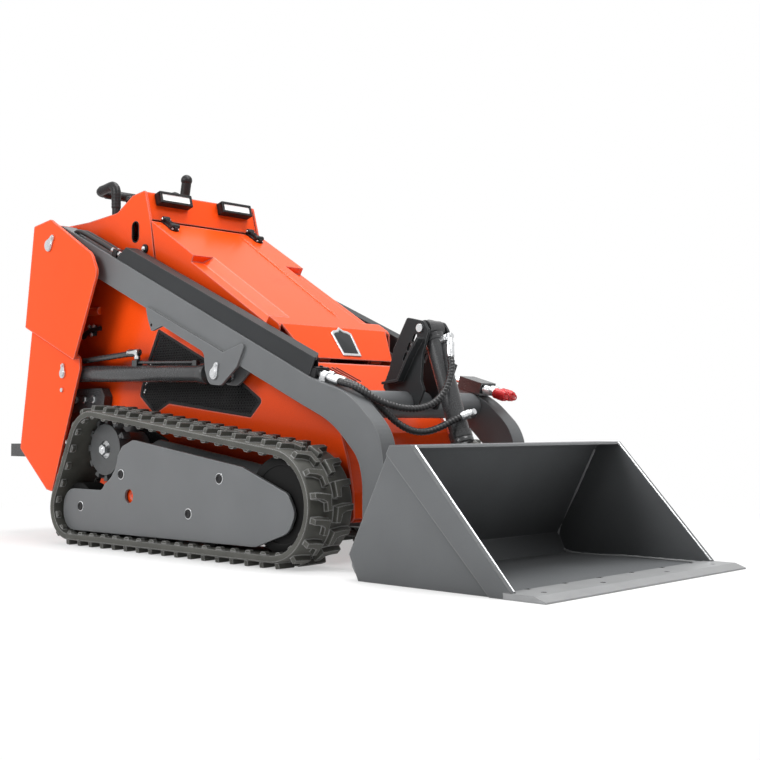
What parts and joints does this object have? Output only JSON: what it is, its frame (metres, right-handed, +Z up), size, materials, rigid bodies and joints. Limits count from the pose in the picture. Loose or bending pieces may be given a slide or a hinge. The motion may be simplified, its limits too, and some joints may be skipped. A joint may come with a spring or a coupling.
{
  "type": "compact track loader",
  "caption": "Compact stand-on loader on rubber tracks, with lift arms, a front bucket worked by hydraulic cylinders, a sloping hinged hood and a control console.",
  "frame": {"origin": "ground level under the middle of the overall box", "axes": "+X forwards to the bucket, +Y to the machine's left, +Z up"},
  "size_m": [2.728, 1, 1.4],
  "materials": {
    "orange_paint": "semi-gloss",
    "grey_paint": "satin",
    "dark_paint": "satin",
    "black_plastic": "matte",
    "track_rubber": "matte",
    "hose_rubber": "matte",
    "bright_steel": "brushed",
    "rod_chrome": "polished",
    "wear_steel": "ground",
    "cast_iron": "as cast",
    "lamp_lens": "gloss",
    "red_rubber": "matte"
  },
  "bodies": {
    "chassis": {"belly_pan": "orange_paint", "side_plate_right": "orange_paint", "side_plate_left": "orange_paint", "grille_right": "black_plastic", "grille_left": "black_plastic", "front_cover": "orange_paint", "rear_panel": "orange_paint", "console": "orange_paint", "instrument_panel": "black_plastic", "grab_bar": "black_plastic", "levers": "black_plastic", "drive_covers": "dark_paint", "engine_block": "cast_iron", "platform": "dark_paint", "lamp_housings": "black_plastic", "lamp_lenses": "lamp_lens", "tower_right": "orange_paint", "tower_left": "orange_paint", "tower_pins": "bright_steel", "track_frame_right": "grey_paint", "track_frame_left": "grey_paint", "track_wheels": "dark_paint", "sprockets": "cast_iron", "track_right": "track_rubber", "track_left": "track_rubber"},
    "hood": {"hood": "orange_paint", "hood_latches": "black_plastic"},
    "lift_arm": {"arm_right": "grey_paint", "arm_left": "grey_paint", "hose_guards": "grey_paint", "cross_tube": "grey_paint", "tilt_bracket": "dark_paint", "arm_pins": "bright_steel", "couplers": "bright_steel", "coupler_bracket": "dark_paint", "coupler_caps": "red_rubber", "hose_fittings": "bright_steel", "hose_upper": "hose_rubber", "hose_lower": "hose_rubber"},
    "tilt_barrel": {"tilt_fittings": "bright_steel", "tilt_barrel": "dark_paint"},
    "lift_barrel_right": {"lift_barrel_right": "dark_paint"},
    "lift_barrel_left": {"lift_barrel_left": "dark_paint"},
    "lift_rod_right": {"lift_rod_right": "rod_chrome"},
    "lift_rod_left": {"lift_rod_left": "rod_chrome"},
    "tilt_rod": {"tilt_rod": "rod_chrome"},
    "bucket": {"quick_attach": "dark_paint", "bucket_shell": "dark_paint", "cutting_edge": "wear_steel"}
  },
  "joints": [
    {"name": "arm_lift", "type": "hinge", "parent": "chassis", "child": "lift_arm", "pos_m": [-1.006, 0, 1.102], "axis": [0, -1, 0], "range_deg": [0, 58]},
    {"name": "bucket_tilt", "type": "hinge", "parent": "lift_arm", "child": "bucket", "pos_m": [0.645, 0, 0.116], "axis": [0, 1, 0], "range_deg": [-18, 98]},
    {"name": "hood_open", "type": "hinge", "parent": "chassis", "child": "hood", "pos_m": [0.204, 0, 0.64], "axis": [0, 1, 0], "range_deg": [0, 60]},
    {"name": "lift_swing_right", "type": "hinge", "parent": "chassis", "child": "lift_barrel_right", "pos_m": [-0.944, -0.31, 0.617], "axis": [0, -1, 0], "range_deg": [-0.5, 51.51]},
    {"name": "lift_stroke_right", "type": "slide", "parent": "lift_barrel_right", "child": "lift_rod_right", "axis": [0.9996, 0, -0.0283], "range_m": [-0.001, 0.45619]},
    {"name": "lift_swing_left", "type": "hinge", "parent": "chassis", "child": "lift_barrel_left", "pos_m": [-0.944, 0.31, 0.617], "axis": [0, -1, 0], "range_deg": [-0.5, 51.51]},
    {"name": "lift_stroke_left", "type": "slide", "parent": "lift_barrel_left", "child": "lift_rod_left", "axis": [0.9996, 0, -0.0283], "range_m": [-0.001, 0.45619]},
    {"name": "tilt_swing", "type": "hinge", "parent": "lift_arm", "child": "tilt_barrel", "pos_m": [0.572, 0, 0.724], "axis": [0, -1, 0], "range_deg": [-1, 3]},
    {"name": "tilt_stroke", "type": "slide", "parent": "tilt_barrel", "child": "tilt_rod", "axis": [0.3309, 0, -0.9437], "range_m": [-0.0478, 0.2558]}
  ],
  "couplings": [
    {"joint": "lift_swing_right", "follows": "arm_lift", "ratio": 0.87942},
    {"joint": "lift_stroke_right", "follows": "arm_lift", "m_per_rad": 0.44967},
    {"joint": "lift_swing_left", "follows": "arm_lift", "ratio": 0.87942},
    {"joint": "lift_stroke_left", "follows": "arm_lift", "m_per_rad": 0.44967},
    {"joint": "tilt_swing", "follows": "bucket_tilt", "ratio": 0.02},
    {"joint": "tilt_stroke", "follows": "bucket_tilt", "m_per_rad": 0.14897}
  ]
}
